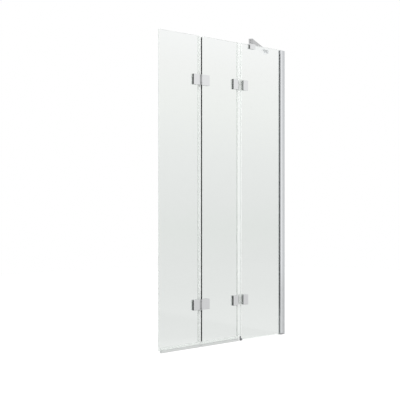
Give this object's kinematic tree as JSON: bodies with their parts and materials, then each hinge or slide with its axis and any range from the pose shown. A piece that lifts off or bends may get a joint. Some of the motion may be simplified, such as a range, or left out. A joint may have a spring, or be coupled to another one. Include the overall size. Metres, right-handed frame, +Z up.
{
  "type": "folding bath screen",
  "caption": "Frameless folding glass bath screen: fixed panel in a wall profile, inward-folding middle panel, outward-folding end panel and a wall brace.",
  "frame": {"origin": "foot of the wall profile: on the wall plane, at bath rim level, in the middle of the glass thickness", "axes": "+X towards the wall along the bath, +Y over the bath, +Z up"},
  "size_m": [0.8, 0.1795, 1.5376],
  "materials": {
    "glass": "clear toughened float glass, polished edges",
    "chrome": "bright chromed",
    "profile": "polished anodised",
    "steel": "stainless",
    "clear_seal": "translucent extruded",
    "grey_seal": "translucent extruded",
    "black_rubber": "matt extruded",
    "pad": "moulded",
    "bearing_plastic": "moulded acetal"
  },
  "bodies": {
    "fixed_side": {"wall_channel": "profile", "glazing_channel": "profile", "adjusting_screws": "steel", "channel_cap": "profile", "outer_glazing_gasket": "black_rubber", "inner_glazing_gasket": "grey_seal", "glass_packers": "bearing_plastic", "fixed_glass": "glass", "fixed_bottom_seal": "clear_seal", "fixed_corner_stop": "black_rubber", "fixed_fold_seal": "clear_seal", "brace_clamp": "chrome", "brace_clamp_pads": "pad", "brace_pressure_plate": "profile", "brace_grub_screws": "steel", "brace_swivel_pin": "steel", "brace_bar": "chrome", "brace_head_plug": "chrome", "brace_lock_screws": "steel", "brace_wall_plug": "chrome", "brace_wall_bracket": "chrome", "brace_bracket_pin": "steel", "upper_inner_carrying_leaf": "chrome", "lower_inner_carrying_leaf": "chrome", "upper_inner_carrying_plate": "chrome", "lower_inner_carrying_plate": "chrome", "upper_inner_pin": "steel", "lower_inner_pin": "steel", "fixed_hinge_pads": "pad", "fixed_hinge_screws": "steel"},
    "middle_panel": {"middle_glass": "glass", "middle_fold_seal": "clear_seal", "middle_edge_gasket": "black_rubber", "middle_bottom_seal": "grey_seal", "middle_seal_plug": "grey_seal", "upper_inner_carried_leaf": "chrome", "lower_inner_carried_leaf": "chrome", "upper_inner_carried_plate": "chrome", "lower_inner_carried_plate": "chrome", "inner_bushes": "bearing_plastic", "upper_outer_carrying_leaf": "chrome", "lower_outer_carrying_leaf": "chrome", "upper_outer_carrying_plate": "chrome", "lower_outer_carrying_plate": "chrome", "upper_outer_pin": "steel", "lower_outer_pin": "steel", "middle_hinge_pads": "pad", "middle_hinge_screws": "steel"},
    "end_panel": {"end_glass": "glass", "end_fold_seal": "clear_seal", "end_bottom_seal": "grey_seal", "end_seal_plug": "grey_seal", "upper_outer_carried_leaf": "chrome", "lower_outer_carried_leaf": "chrome", "upper_outer_carried_plate": "chrome", "lower_outer_carried_plate": "chrome", "outer_bushes": "bearing_plastic", "end_hinge_pads": "pad", "end_hinge_screws": "steel"}
  },
  "joints": [
    {"name": "inner_fold", "type": "hinge", "parent": "fixed_side", "child": "middle_panel", "pos_m": [-0.314, 0.0145, 0.75], "axis": [0, 0, -1], "range_deg": [0, 180]},
    {"name": "outer_fold", "type": "hinge", "parent": "middle_panel", "child": "end_panel", "pos_m": [-0.562, -0.0145, 0.75], "axis": [0, 0, 1], "range_deg": [0, 180]}
  ]
}
